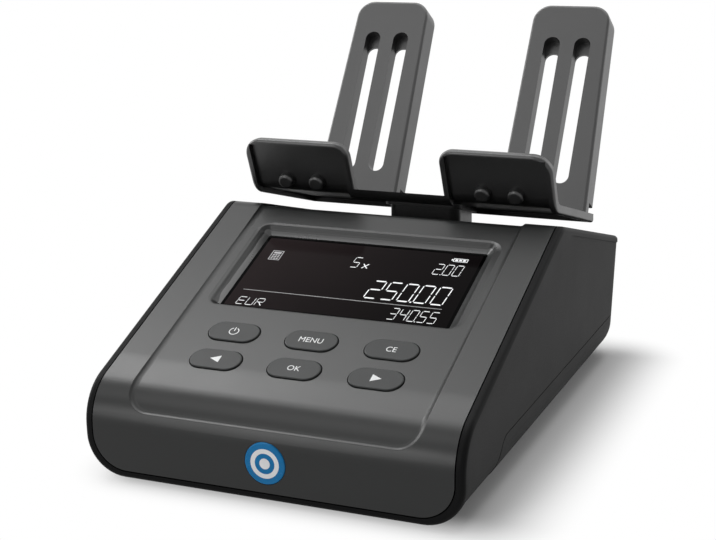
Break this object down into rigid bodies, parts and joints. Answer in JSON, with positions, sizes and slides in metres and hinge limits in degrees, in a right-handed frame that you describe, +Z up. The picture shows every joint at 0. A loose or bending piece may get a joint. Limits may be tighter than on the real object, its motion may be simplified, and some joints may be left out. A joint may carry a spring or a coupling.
{
  "type": "money counting scale",
  "caption": "Counter scale that counts coins and notes by weight: sloping cover with a display and pill keys, and a lift-off black cradle tray on a post.",
  "frame": {"origin": "on the table under the middle of the bounding box, at the feet's lower faces", "axes": "+X to the user's right, -Y towards the user, +Z up"},
  "size_m": [0.139, 0.2322, 0.1426],
  "materials": {
    "housing_black": "moulded black plastic, smooth rim, finely grained sides",
    "cover_grey": "satin dark grey lacquer with a faint metallic grain",
    "window_black": "black tinted acrylic window, glossy",
    "lcd_glass": "display glass",
    "circuit_board": "green solder mask",
    "steel": "zinc plated steel",
    "grey_rubber": "silicone rubber",
    "socket_black": "black nylon",
    "socket_steel": "tinned steel shell",
    "badge_blue": null,
    "battery_wrap": "blue shrink wrap",
    "contact_brass": "plated spring strip",
    "foot_rubber": "black rubber",
    "aluminium": "milled, clear anodised",
    "tray_black": "satin black moulded plastic",
    "key_grey": "satin grey key caps"
  },
  "bodies": {
    "casing": {"main_housing": "housing_black", "base_shell": "housing_black", "top_cover": "cover_grey", "display_window": "window_black", "lcd_module": "lcd_glass", "main_board": "circuit_board", "board_screws": "steel", "keypad_mat": "grey_rubber", "buzzer": "socket_black", "front_badge": "badge_blue", "battery_pack": "battery_wrap", "battery_contacts": "contact_brass", "rubber_feet": "foot_rubber", "housing_screws": "steel", "load_cell": "aluminium", "cell_bolts": "steel", "power_jack": "socket_black", "usb_port": "socket_steel", "printer_port": "socket_black", "port_board": "circuit_board", "port_screws": "steel"},
    "platform": {"platform_carrier": "aluminium", "carrier_bolts": "steel", "platform_post": "tray_black", "post_screws": "steel"},
    "tray": {"money_tray": "tray_black"},
    "door": {"battery_door": "housing_black"},
    "power_button": {"power_button": "key_grey"},
    "menu_button": {"menu_button": "key_grey"},
    "clear_button": {"clear_button": "key_grey"},
    "left_button": {"left_button": "key_grey"},
    "ok_button": {"ok_button": "key_grey"},
    "right_button": {"right_button": "key_grey"}
  },
  "joints": [
    {"name": "power_button_press", "type": "slide", "parent": "casing", "child": "power_button", "axis": [0, 0.3633, -0.9317], "range_m": [0, 0.0008], "stiffness_N_per_m": 600, "springref_m": -0.0001},
    {"name": "menu_button_press", "type": "slide", "parent": "casing", "child": "menu_button", "axis": [0, 0.3633, -0.9317], "range_m": [0, 0.0008], "stiffness_N_per_m": 600, "springref_m": -0.0001},
    {"name": "clear_button_press", "type": "slide", "parent": "casing", "child": "clear_button", "axis": [0, 0.3633, -0.9317], "range_m": [0, 0.0008], "stiffness_N_per_m": 600, "springref_m": -0.0001},
    {"name": "left_button_press", "type": "slide", "parent": "casing", "child": "left_button", "axis": [0, 0.3633, -0.9317], "range_m": [0, 0.0008], "stiffness_N_per_m": 600, "springref_m": -0.0001},
    {"name": "ok_button_press", "type": "slide", "parent": "casing", "child": "ok_button", "axis": [0, 0.3633, -0.9317], "range_m": [0, 0.0008], "stiffness_N_per_m": 600, "springref_m": -0.0001},
    {"name": "right_button_press", "type": "slide", "parent": "casing", "child": "right_button", "axis": [0, 0.3633, -0.9317], "range_m": [0, 0.0008], "stiffness_N_per_m": 600, "springref_m": -0.0001},
    {"name": "platform_deflection", "type": "slide", "parent": "casing", "child": "platform", "axis": [0, 0, -1], "range_m": [0, 0.0005], "stiffness_N_per_m": 30000, "deforming": ["load_cell"]},
    {"name": "tray_lift", "type": "slide", "parent": "platform", "child": "tray", "axis": [0, 0, 1], "range_m": [0, 0.06]},
    {"name": "battery_door_hinge", "type": "hinge", "parent": "casing", "child": "door", "pos_m": [0, -0.0194, 0.0031], "axis": [1, 0, 0], "range_deg": [0, 75]}
  ]
}
